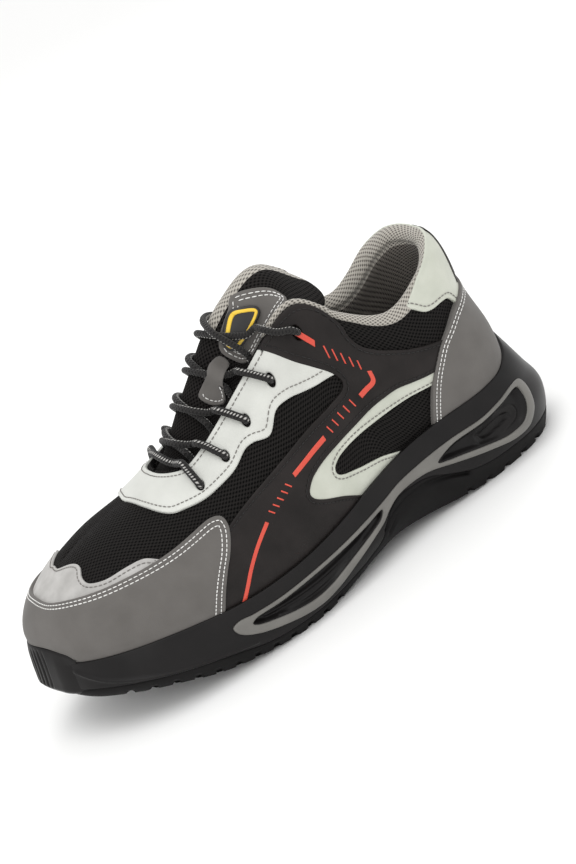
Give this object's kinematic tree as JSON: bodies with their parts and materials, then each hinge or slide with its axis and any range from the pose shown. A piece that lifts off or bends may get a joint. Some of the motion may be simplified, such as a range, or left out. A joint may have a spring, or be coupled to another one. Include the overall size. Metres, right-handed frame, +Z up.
{
  "type": "safety sneaker",
  "caption": "Low-cut left safety sneaker: lugged two-part sole with side frame, hollow mesh upper with sewn overlays, padded collar and tongue, criss-cross laces.",
  "frame": {"origin": "middle of the overall box, at the floor under the sole", "axes": "-X to the toe, +X to the heel, -Y to the outer side, +Z up; the shoe stands on the flat spots of its heel and ball"},
  "size_m": [0.2941, 0.11, 0.146],
  "materials": {
    "outsole": "matt moulded rubber",
    "midsole": "satin moulded foam",
    "toe_bumper": "matt moulded rubber",
    "side_frame_outer": "satin",
    "side_frame_inner": "satin",
    "insole": "matt",
    "upper": "matt open mesh",
    "toe_cap": "napped microfibre",
    "toe_trim": "smooth synthetic",
    "eyestay": "smooth synthetic",
    "side_panel_outer": "smooth synthetic",
    "side_panel_inner": "smooth synthetic",
    "window_trim_outer": "smooth synthetic",
    "window_trim_inner": "smooth synthetic",
    "heel_counter": "napped microfibre",
    "heel_tab": "smooth synthetic",
    "back_strip": "smooth synthetic",
    "collar_padding": "ribbed knit",
    "tongue": "matt mesh",
    "tongue_patch": "napped microfibre",
    "tongue_badge": "satin moulded",
    "lace_keeper": "napped microfibre",
    "laces": "braided cord"
  },
  "bodies": {
    "root": {"outsole": "outsole", "midsole": "midsole", "toe_bumper": "toe_bumper", "side_frame_outer": "side_frame_outer", "side_frame_inner": "side_frame_inner", "insole": "insole", "upper": "upper", "toe_cap": "toe_cap", "toe_trim": "toe_trim", "eyestay": "eyestay", "side_panel_outer": "side_panel_outer", "side_panel_inner": "side_panel_inner", "window_trim_outer": "window_trim_outer", "window_trim_inner": "window_trim_inner", "heel_counter": "heel_counter", "heel_tab": "heel_tab", "back_strip": "back_strip", "collar_padding": "collar_padding", "tongue": "tongue", "tongue_patch": "tongue_patch", "tongue_badge": "tongue_badge", "lace_keeper": "lace_keeper", "lace_bar_1": "laces", "lace_cross_2": "laces", "lace_cross_3": "laces", "lace_cross_4": "laces", "lace_cross_5": "laces"}
  },
  "joints": []
}
